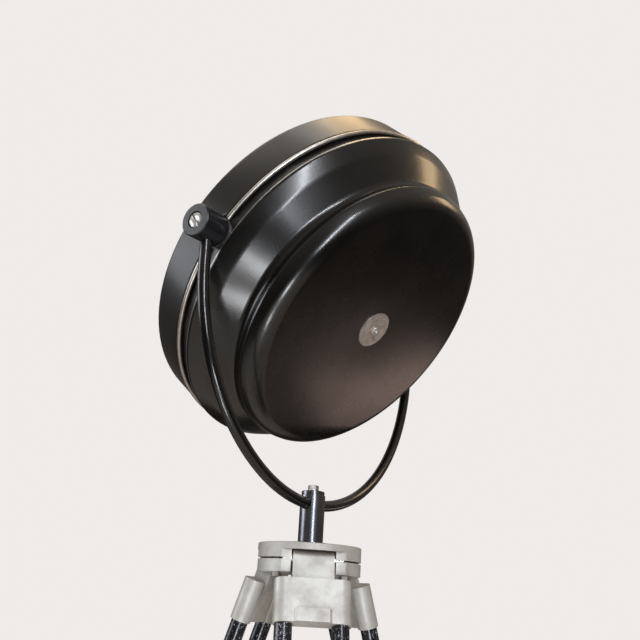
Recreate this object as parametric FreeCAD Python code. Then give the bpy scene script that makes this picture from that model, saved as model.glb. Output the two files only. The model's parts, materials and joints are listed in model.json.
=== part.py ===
import FreeCAD, Part
import math
import os
from FreeCAD import Matrix, Placement, Rotation, Vector

# Tripod floor lamp: a spun lamp head in a round bar yoke, on a short mast that is
# screwed to a three-legged surveyor's stand.
# Row frame: mast axis is +Z, the floor is Z = 0, the yoke's pivot axis is X at rest, and
# the light leaves the head towards -Y and upwards. Millimetres and degrees throughout.

# ---------------------------------------------------------------- stand, overall
plate_top = 1153.0            # top face of the stand's head above the floor
leg_azimuths = [40.0, 160.0, 280.0]
leg_splay = 18.5              # legs from the vertical, resting on their stops
running_gap = 0.05            # radial clearance of shafts that turn or slide
seat_gap = 0.02               # clearance of pieces that are fixed in each other
side_gap = 2.0                # each side of a hinge tongue

# ---------------------------------------------------------------- stand head
plate_radius = 69.0
plate_rim = 8.5
plate_edge_round = 1.5
lug_depth = 19.0              # underside of the fixed lugs below the plate's top
lug_flat = 55.5               # faces of lugs and caps beside each hinge tongue
cap_split = 2.0               # open joint between lug and clamping cap
cap_height = 16.0
hub_radius = 24.0
hub_depth = 16.0
hinge_radius = 47.0           # hinge pins from the mast axis
pin_radius = 6.0
pin_seat = 11.5               # length of a hinge pin held at each side of its tongue
cap_screw_radius = 4.0
cap_screw_circle = 52.0
cap_thread = 8.0              # depth of the threads in the lugs
cap_screw_head = [6.5, 5.0]   # radius, height

# ---------------------------------------------------------------- centre fixing
stud_radius = 7.9
stud_play = 0.4               # round the screw in the plate
stud_reach = 22.0             # into the foot of the mast
knob_radius = 22.0
knob_height = 26.0
knob_lobes = 8
knob_flute = 5.0
fixing_washer = [16.0, 2.5]   # radius, thickness

# ---------------------------------------------------------------- legs
tongue_width = 53.0
tongue_wall = 5.0             # round the hinge pin
tube_offset = 4.0             # tube plane outside the hinge axis
tube_spacing = 70.0
tube_radius = 11.0
tube_wall = 1.6
socket_wall = 2.5             # cast barrels that hold the tubes
saddle_top = 30.0             # leg head casting, below the hinge, along the leg
saddle_height = 54.0
saddle_web = 20.0
shelf_height = 12.0
socket_floor = 8.0
pad_width = 46.0
pad_height = 16.0
pad_rise = 4.0
pad_slope = 3.2               # chamfer of its sides
pad_depth = 20.0
tube_end = 640.0              # lower end of the paired tubes, along the leg
clamp_height = 58.0
clamp_overlap = 34.0          # length of tube held in the lower clamp
clamp_socket_wall = 3.5
clamp_sleeve_wall = 6.0
screw_boss_radius = 10.0
clamp_web = 10.0
lower_radius = 13.0
lower_wall = 2.0
lower_top = 400.0
guide_height = 30.0
guide_wall = 3.5
guide_cup_wall = 4.0
guide_web = 8.0
guide_roof = 6.0              # closed top of the cup that the lower leg seats in
shoe_length = 74.0
shoe_wall = 4.0
shoe_socket = 26.0            # length of lower leg held in its shoe
shoe_barrel = 38.0
shoe_tip_radius = 10.0
tread_size = [44.0, 34.0, 6.0]  # across the leg, outwards, thick
tread_root = 6.0              # of the tread, inside the shoe's taper
tread_corner = 9.0
tread_height = 52.0           # tread above the floor, along the leg
spike_radius = 7.0
spike_tip_radius = 5.0
spike_length = 26.0
clamp_screw_radius = 4.0
wing_span = 46.0
wing_height = 16.0
wing_thickness = 6.0
wing_hub_radius = 9.0
wing_hub_length = 16.0
wing_stand_off = 5.0

# ---------------------------------------------------------------- mast and yoke
rod_axis_rise = 54.0          # yoke bar above the plate
mast_radius = 17.0
mast_flange = [26.0, 3.5]     # radius, thickness
mast_shoulder = 4.5           # mast top above the yoke bar
cap_set_in = 1.2
mast_cap_height = 5.6
cap_groove = [0.7, 0.8]       # depth, width
cap_pin_hole = 1.2
bolt_radius = 4.0
bolt_flats = 13.0
bolt_head_height = 6.4
bolt_washer = [7.4, 1.6]
rod_radius = 7.5
rod_bore_gap = 0.5
arm_length = 52.0             # straight arm between the arc and the pivot axis
arm_overrun = 7.0             # bar end past the pivot axis, inside the boss
yoke_lean = 3.0               # the bar's rest position in its cross hole

# ---------------------------------------------------------------- tilt pivots
boss_radius = 21.0
boss_past_bar = 22.5          # outer face of a boss from the yoke bar's axis
boss_chamfer = 1.2
counterbore = [11.0, 5.0]     # radius, depth
screw_head = [10.0, 4.4]
screw_slot = [1.8, 1.8]       # width, depth
pivot_screw_radius = 4.0
friction_washer = [19.5, 1.6]
washer_gap = 0.2
bush_flange = [20.0, 2.4]
bush_radius = 9.0
bush_length = 14.0
nut_flats = 13.0
nut_height = 6.5

# ---------------------------------------------------------------- lamp head
head_tilt = 41.6              # light direction above the horizontal
head_radius = 249.5           # drum, and the shell's hem
head_clearance = 8.0          # between the drum and the yoke bar
rim_front = -54.0             # places along the head's axis, rearwards from the pivot
rim_rear = 0.8
rim_wall = 1.6
rim_front_round = 7.0
glass_lap = 5.0               # glass held by the drum's front lip, all round
bead_radius = 3.0
bead_play = 0.1               # between the bead and the carrier
recess_depth = 5.0            # dark channel between the bead and the shell's hem
carrier_wall = 3.0
carrier_front = -9.0
carrier_rear = 27.0
carrier_seat = 19.0           # width of the front flange that carries the reflector
carrier_flange = 1.6          # thickness of the flange that the shell's hem wraps
spot_depth = 1.0              # flat seats of the pivot bushes
hem_set_in = 0.1              # rolled lip of the rear shell, inside the drum's outline
hem_play = 0.4                # between that lip and the carrier
shell_wall = 1.5
hem_round = 1.7
hem_gap = 0.1
hem_wrap = 2.0                # straight wall behind the carrier's flange
hem_turn = 4.0
shoulder_place = 47.0         # along the head's axis, as the rim's front is
shoulder_draw = 13.5
shoulder_round = 30.0
neck_draw = 46.5              # the shell's waist inside its hem
neck_run = 30.0               # shoulder to waist, along the axis
neck_round = 13.0
bulge_rise = 7.5
bulge_run = 14.0
bulge_round = 8.0
end_draw = 9.5
end_run = 25.0
end_round = 21.0
dish_radius = 62.0
dish_depth = 2.6
glass_fit = 9.9               # between the glass and the drum's wall, where the clips stand
glass_thickness = 5.0
gasket_thickness = 3.0
clip_count = 6
clip_width = 14.0
clip_thickness = 1.2
clip_height = 18.0
reflector_wall = 1.4
reflector_flange = 30.0
reflector_fit = 2.0
reflector_bowl = [122.0, 17.0, 190.0]  # radius and height of its bend above the floor, round
holder_room = 4.5             # between the lampholder and the reflector's hole
holder_show = 16.0            # lampholder inside the reflector
reflector_screw = [3.0, 1.5, 1.8]  # head radius, shank radius, head height
reflector_screw_count = 6
stem_radius = 14.0
stem_length = 20.0
holder_radius = 22.5
holder_length = 50.0
holder_socket = 14.0
socket_length = 26.0
bulb_cap_fit = 0.7
bulb_cap_length = 25.0
bulb_radius = 34.0
bulb_length = 87.0            # glass of the bulb
bulb_wall = 1.0
rear_washer = [27.0, 2.2]
rear_washer_rings = [23.0, 17.5]
rear_screw_radius = 3.0
rear_screw_head = [6.3, 3.0]
rear_screw_recess = [2.4, 1.6]
small_washer = [8.6, 1.2]
gland_flats = 20.0
gland_bore = 4.0
gland_thread_radius = 8.0
gland_head = 14.0
gland_inside = 12.0
gland_nut_height = 5.0
gland_place = -27.0

# ---------------------------------------------------------------- worked out
rod_axis = plate_top + rod_axis_rise
yoke_radius = head_radius + head_clearance + rod_radius
boss_outer = yoke_radius + boss_past_bar
arc_centre = Vector(0, 0, rod_axis + yoke_radius)
pivot_height = arc_centre.z + arm_length
mast_top = rod_axis + rod_radius + mast_shoulder
cap_radius = mast_radius - cap_set_in
pin_length = tongue_width + 2 * (side_gap + pin_seat)
tongue_radius = pin_radius + tongue_wall
socket_radius = tube_radius + socket_wall
hinge_height = plate_top - lug_depth - cap_split / 2
splay = math.radians(leg_splay)
leg_reach = (hinge_height + tube_offset * math.sin(splay)) / math.cos(splay)  # hinge to floor
clamp_sleeve_radius = lower_radius + clamp_sleeve_wall
glass_radius = head_radius - rim_wall - glass_fit
glass_opening = glass_radius - glass_lap
carrier_radius = head_radius - recess_depth
carrier_inner = carrier_radius - carrier_seat
hem_radius = head_radius - hem_set_in
shoulder_radius = head_radius - shoulder_draw
neck_radius = head_radius - neck_draw
bulge_radius = neck_radius + bulge_rise
end_corner = bulge_radius - end_draw
neck_place = shoulder_place + neck_run
bulge_place = neck_place + bulge_run
end_place = bulge_place + end_run
shell_centre = end_place - dish_depth      # outer face of the rear shell at its middle
stem_back = shell_centre - shell_wall - seat_gap
holder_back = stem_back - stem_length - seat_gap
holder_front = holder_back - holder_length
bulb_seat = holder_front + socket_length
bulb_cap_radius = holder_socket - bulb_cap_fit
reflector_floor = holder_front + holder_show
reflector_hole = holder_radius + holder_room
reflector_rim = carrier_radius - carrier_wall - reflector_fit
reflector_mouth = reflector_rim - reflector_flange
reflector_screw_circle = (carrier_inner + carrier_radius - carrier_wall) / 2 - 1.0
bush_face = carrier_radius - spot_depth
boss_inner = bush_face + bush_flange[1] + friction_washer[1] + 2 * washer_gap
knob_top = plate_top - hub_depth - fixing_washer[1] - 3 * seat_gap
upwards = Vector(0, 0, 1)
across = Vector(1, 0, 0)
outwards = Vector(0, 1, 0)
big = 1000.0
seam_turn = 15.0              # keeps the seams of spun pieces clear of holes and notches


def cylinder(radius, height, base=Vector(0, 0, 0), axis=upwards):
    return Part.makeCylinder(radius, height, base, axis)


def ring(outer, inner, height, base=Vector(0, 0, 0), axis=upwards):
    return cylinder(outer, height, base, axis).cut(cylinder(inner, height, base, axis))


def block(size, centre):
    corner = centre - Vector(size[0] / 2, size[1] / 2, size[2] / 2)
    return Part.makeBox(size[0], size[1], size[2], corner)


def hexagon(flats, height, base=Vector(0, 0, 0), axis=upwards):
    reach = flats / math.sqrt(3)
    corners = [Vector(reach * math.cos(k * math.pi / 3), reach * math.sin(k * math.pi / 3), 0)
               for k in range(7)]
    prism = Part.Face(Part.makePolygon(corners)).extrude(Vector(0, 0, height))
    prism.Placement = Placement(base, Rotation(upwards, axis))
    return prism


def joined(first, *others):
    return first.fuse(list(others)).removeSplitter()


def turned(shape, axis, angle, centre=Vector(0, 0, 0)):
    copy = shape.copy()
    copy.rotate(centre, axis, angle)
    return copy


def mirrored(shape):
    return shape.mirror(Vector(0, 0, 0), across)


def path_edges(corners):
    """Lines through the corners (r, w, round), with an arc at each rounded corner."""
    points = [Vector(r, 0, w) for r, w, _ in corners]
    edges = []
    start = points[0]
    for here in range(1, len(points) - 1):
        back = (points[here - 1] - points[here]).normalize()
        ahead = (points[here + 1] - points[here]).normalize()
        radius = corners[here][2]
        if radius > 0:
            half = back.getAngle(ahead) / 2
            cut = radius / math.tan(half)
            enter = points[here] + back * cut
            leave = points[here] + ahead * cut
            bisector = (back + ahead).normalize()
            middle = points[here] + bisector * (radius / math.sin(half) - radius)
            edges.append(Part.makeLine(start, enter))
            edges.append(Part.Arc(enter, middle, leave).toShape())
            start = leave
        else:
            edges.append(Part.makeLine(start, points[here]))
            start = points[here]
    edges.append(Part.makeLine(start, points[-1]))
    return edges


def offset_corners(corners, distance):
    """The same path moved sideways, with its rounds kept concentric."""
    points = [Vector(r, 0, w) for r, w, _ in corners]
    runs = [(points[k + 1] - points[k]).normalize() for k in range(len(points) - 1)]
    sides = [Vector(-run.z, 0, run.x) for run in runs]
    moved = [points[0] + sides[0] * distance]
    radii = [0]
    for here in range(1, len(points) - 1):
        before, after = sides[here - 1], sides[here]
        stretch = distance / (1 + before.dot(after))
        moved.append(points[here] + (before + after) * stretch)
        turn = runs[here - 1].x * runs[here].z - runs[here - 1].z * runs[here].x
        radius = corners[here][2]
        radii.append(radius - distance * math.copysign(1, turn) if radius > 0 else 0)
    moved.append(points[-1] + sides[-1] * distance)
    radii.append(0)
    return [(point.x, point.z, radius) for point, radius in zip(moved, radii)]


def spun_sheet(corners, wall):
    """A sheet of one thickness, spun about the head's axis."""
    outer = path_edges(corners)
    inner = path_edges(offset_corners(corners, wall))
    ends = [Part.makeLine(outer[-1].Vertexes[-1].Point, inner[-1].Vertexes[-1].Point),
            Part.makeLine(outer[0].Vertexes[0].Point, inner[0].Vertexes[0].Point)]
    wire = Part.Wire(Part.__sortEdges__(outer + inner + ends))
    return spun(wire)


def spun_solid(corners):
    """A closed section spun about the head's axis."""
    return spun(Part.Wire(path_edges(corners + corners[:1])))


def spun(section):
    solid = Part.Face(section).revolve(Vector(0, 0, 0), upwards, 360)
    return turned(solid, upwards, seam_turn)


def lobed_knob(radius, height, lobes, flute):
    knob = cylinder(radius, height)
    knob = knob.makeChamfer(1.5, [edge for edge in knob.Edges if edge.Length > radius * 4])
    flutes = [cylinder(flute, height, Vector(radius + flute * 0.45, 0, 0))]
    for k in range(1, lobes):
        flutes.append(turned(flutes[0], upwards, 360.0 / lobes * k))
    return knob.cut(flutes)


# ---------------------------------------------------------------- frames of the bodies
def in_yoke(shape):
    """From a frame with its origin at the head's centre to the leaning yoke."""
    copy = shape.copy()
    copy.translate(Vector(0, 0, pivot_height))
    copy.rotate(arc_centre, outwards, yoke_lean)
    return copy


def in_head(shape):
    """From the head's own frame (X pivot axis, Z rearwards) to the row frame."""
    copy = shape.copy()
    copy.rotate(Vector(0, 0, 0), across, -(90 + head_tilt))
    return in_yoke(copy)


def in_leg(shape, azimuth):
    """From a leg's frame (origin on its hinge, X across, Y outwards, Z up the leg)."""
    copy = shape.copy()
    copy.rotate(Vector(0, 0, 0), across, leg_splay)
    copy.translate(Vector(0, hinge_radius, hinge_height))
    copy.rotate(Vector(0, 0, 0), upwards, azimuth - 90)
    return copy


# ---------------------------------------------------------------- lamp head pieces
def boss_notch():
    """Room round the two bosses in the pieces that stand prouder than the carrier."""
    notch = cylinder(boss_radius + 1.0, big, Vector(carrier_radius - 2, 0, 0), across)
    return Part.makeCompound([notch, mirrored(notch)])


def make_front_rim():
    corners = [(glass_opening, rim_front, 0),
               (head_radius, rim_front, rim_front_round),
               (head_radius, rim_rear, 2.4),
               (carrier_radius + seat_gap, rim_rear, 0)]
    rim = spun_sheet(corners, rim_wall)
    inlet = cylinder(gland_thread_radius + seat_gap, big, Vector(0, 0, gland_place), outwards)
    return rim.cut([boss_notch(), inlet])


def make_trim_bead():
    centre = Vector(carrier_radius + bead_play + bead_radius, 0, rim_rear + bead_radius + seat_gap)
    section = Part.Face(Part.Wire(Part.makeCircle(bead_radius, centre, outwards)))
    return section.revolve(Vector(0, 0, 0), upwards, 360).cut(boss_notch())


def make_carrier_ring():
    flange_edge = hem_radius - shell_wall - hem_gap
    inside = carrier_radius - carrier_wall
    flange_front = carrier_rear - carrier_flange
    body = spun_solid([(carrier_inner, carrier_front, 0),
                       (carrier_radius, carrier_front, 0),
                       (carrier_radius, flange_front, 0),
                       (flange_edge, flange_front, 0),
                       (flange_edge, carrier_rear, 0),
                       (inside, carrier_rear, 0),
                       (inside, carrier_front + carrier_wall, 0),
                       (carrier_inner, carrier_front + carrier_wall, 0)])
    spot = cylinder(bush_flange[0] + 0.3, big, Vector(bush_face, 0, 0), across)
    bore = cylinder(bush_radius + seat_gap, big, Vector(carrier_radius / 2, 0, 0), across)
    return body.cut([spot, bore, mirrored(spot), mirrored(bore)] + reflector_screw_holes(carrier_front))


def make_rear_shell():
    hem_front = carrier_rear - carrier_flange - hem_gap - shell_wall
    corners = [(carrier_radius + hem_play, hem_front, 0),
               (hem_radius, hem_front, hem_round),
               (hem_radius, carrier_rear + hem_wrap, hem_turn),
               (shoulder_radius, shoulder_place, shoulder_round),
               (neck_radius, neck_place, neck_round),
               (bulge_radius, bulge_place, bulge_round),
               (end_corner, end_place, end_round),
               (dish_radius, end_place + 1.0, 60),
               (rear_washer[0] + 3.0, shell_centre, 20),
               (rear_screw_radius + seat_gap, shell_centre, 0)]
    return spun_sheet(corners, shell_wall)


def make_front_glass():
    place = Vector(0, 0, rim_front + rim_wall + gasket_thickness + seat_gap)
    glass = cylinder(glass_radius, glass_thickness, place)
    return glass.makeChamfer(0.8, [e for e in glass.Edges if e.Length > glass_radius * 4])


def make_glass_gasket():
    base = Vector(0, 0, rim_front + rim_wall + seat_gap / 2)
    return ring(glass_radius + 2.0, glass_opening + 1.0, gasket_thickness, base)


def make_glass_clips():
    inside = head_radius - rim_wall - seat_gap
    behind_glass = rim_front + rim_wall + gasket_thickness + glass_thickness + 3 * seat_gap
    reach = inside - glass_radius + 6.0
    foot = block([reach, clip_width, clip_thickness],
                 Vector(inside - reach / 2, 0, behind_glass + clip_thickness / 2))
    leaf = block([clip_thickness, clip_width, clip_height],
                 Vector(inside - 0.5 - clip_thickness / 2, 0, behind_glass + clip_height / 2))
    clip = joined(foot, leaf).common(cylinder(inside, big, Vector(0, 0, -big / 2)))
    step = 360.0 / clip_count
    return Part.makeCompound([turned(clip, upwards, step * k) for k in range(clip_count)])


def round_the_rim(shape):
    """Copies of a piece at each reflector screw."""
    step = 360.0 / reflector_screw_count
    return [turned(shape, upwards, step * (k + 0.5)) for k in range(reflector_screw_count)]


def reflector_screw_holes(face):
    hole = cylinder(reflector_screw[1] + seat_gap, 12, Vector(reflector_screw_circle, 0, face - 4))
    return round_the_rim(hole)


def make_reflector():
    face = carrier_front - reflector_wall - seat_gap
    bend_radius, bend_height, bend_round = reflector_bowl
    corners = [(reflector_rim, face, 0),
               (reflector_mouth, face, 9),
               (bend_radius, reflector_floor - bend_height, bend_round),
               (reflector_hole, reflector_floor, 0)]
    return spun_sheet(corners, -reflector_wall).cut(reflector_screw_holes(face))


def make_reflector_screws():
    cap_radius, shank_radius, cap_depth = reflector_screw
    under_head = Vector(reflector_screw_circle, 0, carrier_front - reflector_wall - 2 * seat_gap)
    head = cylinder(cap_radius, cap_depth, under_head - upwards * cap_depth)
    shank = cylinder(shank_radius, reflector_wall + carrier_wall + 2, under_head)
    return Part.makeCompound(round_the_rim(joined(head, shank)))


def make_rear_washer():
    radius, thickness = rear_washer
    washer = ring(radius, rear_screw_radius + seat_gap, thickness, Vector(0, 0, shell_centre + seat_gap))
    grooves = [ring(r, r - 0.8, thickness, Vector(0, 0, shell_centre + thickness - 0.3))
               for r in rear_washer_rings]
    return washer.cut(grooves)


def make_screw_washer():
    base = Vector(0, 0, shell_centre + rear_washer[1] + 2 * seat_gap)
    return ring(small_washer[0], rear_screw_radius + seat_gap, small_washer[1], base)


def make_rear_screw():
    under_head = shell_centre + rear_washer[1] + small_washer[1] + 3 * seat_gap
    head = cylinder(rear_screw_head[0], rear_screw_head[1], Vector(0, 0, under_head))
    head = head.makeFillet(1.4, [head.Edges[0]])
    head = head.cut(hexagon(rear_screw_recess[0] * 2, rear_screw_recess[1] + 1,
                            Vector(0, 0, under_head + rear_screw_head[1] - rear_screw_recess[1])))
    shank_length = under_head - stem_back + stem_length * 0.7
    shank = cylinder(rear_screw_radius, shank_length, Vector(0, 0, under_head - shank_length))
    return joined(head, shank)


def make_holder_stem():
    front = stem_back - stem_length
    stem = joined(cylinder(stem_radius, stem_length, Vector(0, 0, front)),
                  cylinder(stem_radius * 1.9, 3.0, Vector(0, 0, stem_back - 3.0)))
    return stem.cut(cylinder(rear_screw_radius + seat_gap, stem_length * 0.75,
                             Vector(0, 0, stem_back - stem_length * 0.75)))


def make_lampholder():
    body = cylinder(holder_radius, holder_length, Vector(0, 0, holder_front))
    collar = cylinder(holder_radius + 2.5, 5.0, Vector(0, 0, holder_front))
    socket = cylinder(holder_socket, socket_length, Vector(0, 0, holder_front))
    holder = joined(body, collar).cut(socket)
    back_edges = [e for e in holder.Edges if abs(e.BoundBox.ZMax - holder_back) < 1e-6]
    return holder.makeChamfer(1.5, [max(back_edges, key=lambda e: e.Length)])


def make_bulb_cap():
    shell = ring(bulb_cap_radius, bulb_cap_radius - 0.8, bulb_cap_length,
                 Vector(0, 0, bulb_seat - bulb_cap_length))
    contact = cylinder(bulb_cap_radius - 0.5, 3.0, Vector(0, 0, bulb_seat - 3.0 - seat_gap))
    cap = joined(shell, contact)
    grooves = []
    for k in range(4):
        groove_at = bulb_seat - 5.5 - 3.6 * k
        grooves.append(ring(bulb_cap_radius + 1, bulb_cap_radius - 0.4, 1.4, Vector(0, 0, groove_at)))
    return cap.cut(grooves)


def make_bulb():
    rear = bulb_seat - bulb_cap_length + 6.0
    neck = bulb_cap_radius - 0.8 - seat_gap
    corners = [(neck, rear, 0),
               (neck, rear - 12.0, 10),
               (bulb_radius, rear - 36.0, 22),
               (bulb_radius, rear - bulb_length, bulb_radius - 0.2),
               (0, rear - bulb_length, 0)]
    return spun_sheet(corners, -bulb_wall)


def make_pivot_bush():
    flange = cylinder(bush_flange[0], bush_flange[1], Vector(bush_face, 0, 0), across)
    barrel = cylinder(bush_radius, bush_length, Vector(bush_face - bush_length, 0, 0), across)
    inner_end = Vector(bush_face - bush_length - 1, 0, 0)
    bore = cylinder(pivot_screw_radius + running_gap, big, inner_end, across)
    return joined(flange, barrel).cut(bore)


def make_friction_washer():
    base = Vector(bush_face + bush_flange[1] + washer_gap, 0, 0)
    return ring(friction_washer[0], pivot_screw_radius + running_gap, friction_washer[1], base, across)


def make_cable_gland():
    outside = Vector(0, head_radius + seat_gap, gland_place)
    head = hexagon(gland_flats, gland_head / 2, outside, outwards)
    nose = cylinder(gland_flats / 2 - 0.8, gland_head / 2, outside + outwards * (gland_head / 2), outwards)
    nose = nose.makeFillet(2.5, [max(nose.Edges, key=lambda e: e.CenterOfMass.y)])
    thread = cylinder(gland_thread_radius, gland_inside, outside - outwards * gland_inside, outwards)
    inner_end = outside - outwards * (gland_inside + 1)
    bore = cylinder(gland_bore, gland_head + gland_inside + 2, inner_end, outwards)
    return joined(head, nose, thread).cut(bore)


def make_gland_nut():
    inside_wall = math.sqrt((head_radius - rim_wall) ** 2 - (gland_flats / 2) ** 2) - 1.0
    base = Vector(0, inside_wall - gland_nut_height, gland_place)
    nut = hexagon(gland_flats + 2, gland_nut_height, base, outwards)
    return nut.cut(cylinder(gland_thread_radius + seat_gap, gland_nut_height + 2, base - outwards, outwards))


# ---------------------------------------------------------------- yoke pieces
def make_yoke_rod():
    circle = Part.makeCircle(rod_radius, Vector(yoke_radius, 0, -arm_length), upwards)
    section = Part.Face(Part.Wire(circle))
    arc = section.revolve(Vector(0, 0, -arm_length), outwards, 180)
    arms = [cylinder(rod_radius, arm_length + arm_overrun, Vector(side * yoke_radius, 0, -arm_length))
            for side in (1, -1)]
    bar = joined(arc, *arms)
    hole = cylinder(pivot_screw_radius + seat_gap, big, Vector(-big / 2, 0, 0), across)
    return bar.cut(hole)


def make_pivot_boss():
    boss = cylinder(boss_radius, boss_outer - boss_inner, Vector(boss_inner, 0, 0), across)
    boss = boss.makeChamfer(boss_chamfer, [e for e in boss.Edges if e.Length > boss_radius * 4])
    recess = cylinder(counterbore[0], big, Vector(boss_outer - counterbore[1], 0, 0), across)
    through = cylinder(pivot_screw_radius + seat_gap, big, Vector(boss_inner - 1, 0, 0), across)
    rod_hole = cylinder(rod_radius + seat_gap, big, Vector(yoke_radius, 0, arm_overrun + seat_gap - big))
    return boss.cut([recess, through, rod_hole])


def make_pivot_screw():
    under_head = boss_outer - counterbore[1] + seat_gap
    head = cylinder(screw_head[0], screw_head[1], Vector(under_head, 0, 0), across)
    head = head.makeChamfer(0.8, [max(head.Edges, key=lambda e: e.CenterOfMass.x)])
    slot = block([screw_slot[1] * 2, big, screw_slot[0]], Vector(under_head + screw_head[1], 0, 0))
    slot = turned(slot, across, 40)
    tip = bush_face - bush_length - nut_height - 4.0
    shank = cylinder(pivot_screw_radius, under_head - tip, Vector(tip, 0, 0), across)
    return joined(head, shank).cut(slot)


def make_pivot_nut():
    base = Vector(bush_face - bush_length - washer_gap - nut_height, 0, 0)
    nut = hexagon(nut_flats, nut_height, base, across)
    return nut.cut(cylinder(pivot_screw_radius + seat_gap, big, base - across, across))


# ---------------------------------------------------------------- mast pieces
def make_mast():
    mast = joined(cylinder(mast_radius, mast_top - plate_top, Vector(0, 0, plate_top)),
                  cylinder(mast_flange[0], mast_flange[1], Vector(0, 0, plate_top)))
    sagitta = yoke_radius - math.sqrt(yoke_radius ** 2 - mast_radius ** 2)
    cross = cylinder(rod_radius + rod_bore_gap, big, Vector(-big / 2, 0, rod_axis + sagitta / 2), across)
    stud_bore = cylinder(stud_radius + seat_gap, stud_reach + 4, Vector(0, 0, plate_top - 1))
    bolt_bore = cylinder(bolt_radius + running_gap, big, Vector(0, 0, rod_axis))
    return mast.cut([cross, stud_bore, bolt_bore])


def make_mast_cap():
    base = mast_top + seat_gap
    cap = cylinder(cap_radius, mast_cap_height, Vector(0, 0, base))
    cap = cap.makeChamfer(0.6, [max(cap.Edges, key=lambda e: e.CenterOfMass.z)])
    groove = ring(cap_radius + 1, cap_radius - cap_groove[0], cap_groove[1], Vector(0, 0, base + 0.5))
    bore = cylinder(bolt_radius + running_gap, big, Vector(0, 0, base - 1))
    pin_place = Vector(0, 0, base + mast_cap_height * 0.58)
    pin_hole = cylinder(cap_pin_hole, cap_radius, pin_place, Vector(0.2, 1, 0))
    return cap.cut([groove, bore, pin_hole])


def make_clamp_bolt():
    cap_top = mast_top + seat_gap + mast_cap_height
    washer_base = cap_top + washer_gap
    head_base = washer_base + bolt_washer[1]
    washer = cylinder(bolt_washer[0], bolt_washer[1], Vector(0, 0, washer_base))
    head = hexagon(bolt_flats, bolt_head_height, Vector(0, 0, head_base))
    crown = Part.makeCone(bolt_flats * 0.75, bolt_flats * 0.42, bolt_head_height * 0.5,
                          Vector(0, 0, head_base + bolt_head_height * 0.62))
    lower_half = cylinder(bolt_flats, bolt_head_height * 0.62, Vector(0, 0, head_base))
    head = head.common(joined(lower_half, crown))
    tip = rod_axis + rod_radius + running_gap
    shank = cylinder(bolt_radius, head_base - tip + 1, Vector(0, 0, tip))
    return joined(washer, head, shank)


# ---------------------------------------------------------------- stand head pieces
def leg_slots(width, base, height):
    """The three slots that the hinge tongues swing in."""
    slot = Part.makeBox(big, width, height, Vector(0, -width / 2, base))
    return [turned(slot, upwards, azimuth) for azimuth in leg_azimuths]


def lug_outline(base, height):
    """The round head with a flat and a slot towards each leg."""
    disc = cylinder(plate_radius, height, Vector(0, 0, base))
    beyond = Part.makeBox(big, big, height, Vector(lug_flat, -big / 2, base))
    flats = [turned(beyond, upwards, azimuth) for azimuth in leg_azimuths]
    return disc.cut(flats + leg_slots(tongue_width + 2 * side_gap, base, height))


def hinge_bores():
    length = pin_length + 1
    end = Vector(-length / 2, hinge_radius, hinge_height)
    bore = cylinder(pin_radius + running_gap, length, end, across)
    return [turned(bore, upwards, azimuth - 90) for azimuth in leg_azimuths]


def cap_screw_places():
    places = []
    for azimuth in leg_azimuths:
        between = math.radians(azimuth + 60)
        places.append(Vector(math.cos(between), math.sin(between), 0) * cap_screw_circle)
    return places


def make_tripod_plate():
    rim = cylinder(plate_radius, plate_rim, Vector(0, 0, plate_top - plate_rim))
    rim = rim.makeFillet(plate_edge_round, [max(rim.Edges, key=lambda e: e.CenterOfMass.z)])
    lugs = lug_outline(plate_top - lug_depth, lug_depth - plate_rim)
    hub = cylinder(hub_radius, hub_depth - 1, Vector(0, 0, plate_top - hub_depth))
    plate = joined(rim, lugs, hub)
    cuts = hinge_bores() + [cylinder(stud_radius + stud_play, big, Vector(0, 0, plate_top - big / 2))]
    thread = cylinder(cap_screw_radius + seat_gap, cap_thread + 1, Vector(0, 0, plate_top - lug_depth - 1))
    for place in cap_screw_places():
        hole = thread.copy()
        hole.translate(place)
        cuts.append(hole)
    return plate.cut(cuts)


def make_hinge_caps():
    caps = lug_outline(plate_top - lug_depth - cap_split - cap_height, cap_height)
    holes = [cylinder(cap_screw_radius + seat_gap, big, place + Vector(0, 0, plate_top - big))
             for place in cap_screw_places()]
    return Part.makeCompound(caps.cut(hinge_bores() + holes).Solids)


def make_cap_screws():
    under = plate_top - lug_depth - cap_split - cap_height - seat_gap
    screws = []
    for place in cap_screw_places():
        base = place + Vector(0, 0, under)
        head = hexagon(cap_screw_head[0] * 2, cap_screw_head[1], base - upwards * cap_screw_head[1])
        shank = cylinder(cap_screw_radius, cap_height + cap_split + cap_thread - 1, base)
        screws.append(joined(head, shank))
    return Part.makeCompound(screws)


def make_fixing_washer():
    base = Vector(0, 0, plate_top - hub_depth - fixing_washer[1] - seat_gap)
    return ring(fixing_washer[0], stud_radius + running_gap, fixing_washer[1], base)


def make_centre_screw():
    length = stud_reach + plate_top - knob_top + knob_height * 0.8
    base = Vector(0, 0, plate_top + stud_reach - length)
    return cylinder(stud_radius, length, base)


def make_centre_knob():
    knob = lobed_knob(knob_radius, knob_height, knob_lobes, knob_flute)
    knob.translate(Vector(0, 0, knob_top - knob_height))
    depth = knob_height * 0.8 + seat_gap
    return knob.cut(cylinder(stud_radius + seat_gap, depth + 1, Vector(0, 0, knob_top - depth)))


# ---------------------------------------------------------------- leg pieces, in the leg's frame
def down(distance, x=0.0, y=0.0):
    return Vector(x, y, -distance)


def tube_places(distance):
    return [down(distance, side * tube_spacing / 2, tube_offset) for side in (1, -1)]


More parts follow.
